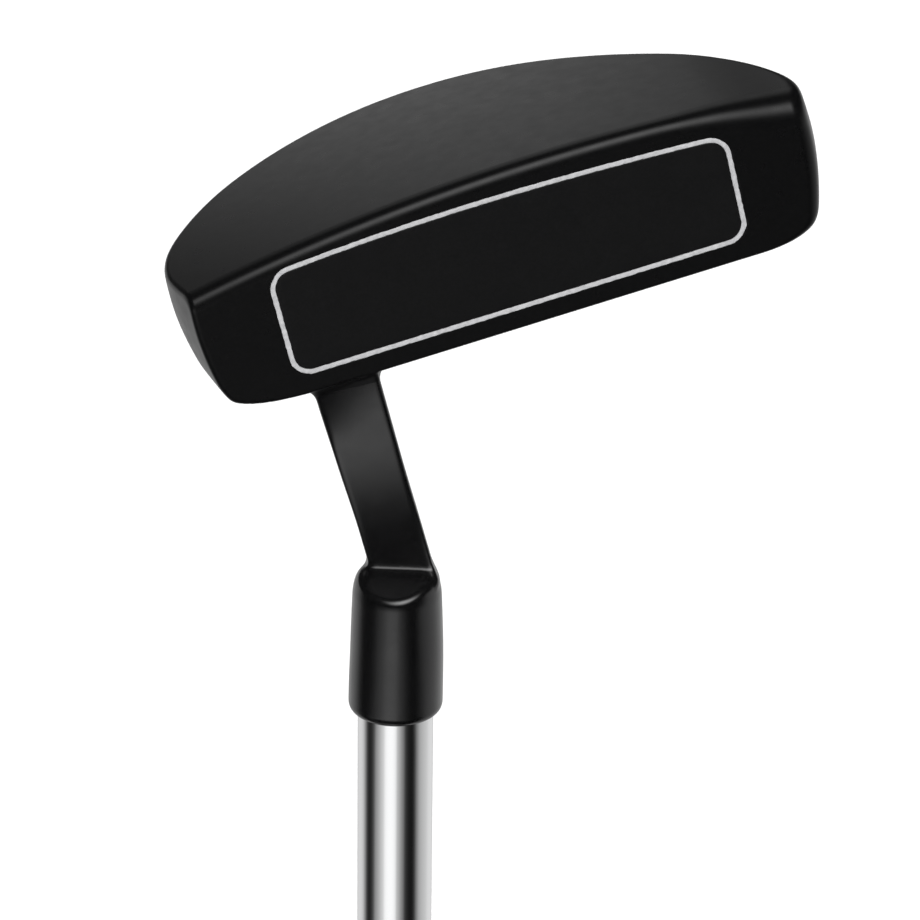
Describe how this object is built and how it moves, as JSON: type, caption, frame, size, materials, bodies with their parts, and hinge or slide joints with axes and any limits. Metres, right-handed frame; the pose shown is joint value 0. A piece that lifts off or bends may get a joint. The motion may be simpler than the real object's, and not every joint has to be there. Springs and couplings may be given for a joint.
{
  "type": "golf putter",
  "caption": "Right-handed semi-mallet putter with an offset flow neck, face insert, hollow back with sight lines, stepped steel shaft and a flat-fronted rubber grip.",
  "frame": {"origin": "centre of the flat butt end of the grip, on the shaft axis", "axes": "+Z along the shaft from the butt to the head, -Y the way the striking face looks, +X towards the toe of the head. The club stands on its grip with the head up."},
  "size_m": [0.0972, 0.0591, 0.9014],
  "materials": {
    "black_paint": "satin black over the cast head",
    "insert": "matte black polymer",
    "trim": "light grey line, slightly uneven",
    "white_paint": "white paint fill",
    "grey_paint": "light grey paint fill",
    "adhesive": "cured epoxy, hidden",
    "chrome": "bright chrome",
    "plug": "cork-like plug, hidden",
    "rubber": "moulded black rubber with a fine diagonal texture",
    "tape": "paper-backed tape, hidden"
  },
  "bodies": {
    "root": {"head_body": "black_paint", "insert_trim_line": "trim", "face_insert": "insert", "insert_adhesive_pad": "adhesive", "sight_line_centre": "white_paint", "sight_line_toe": "white_paint", "sight_line_heel": "white_paint", "edge_line_toe": "grey_paint", "edge_line_heel": "grey_paint", "topline_mark": "white_paint", "shaft_tube": "chrome", "shaft_tip_plug": "plug", "hosel_epoxy": "adhesive", "grip_sleeve": "rubber", "grip_end_cap": "rubber", "grip_tape": "tape", "grip_badge_outline": "grey_paint", "grip_butt_ring_1": "grey_paint", "grip_butt_ring_2": "grey_paint", "grip_mouth_ring_1": "white_paint", "grip_mouth_ring_2": "white_paint"}
  },
  "joints": []
}
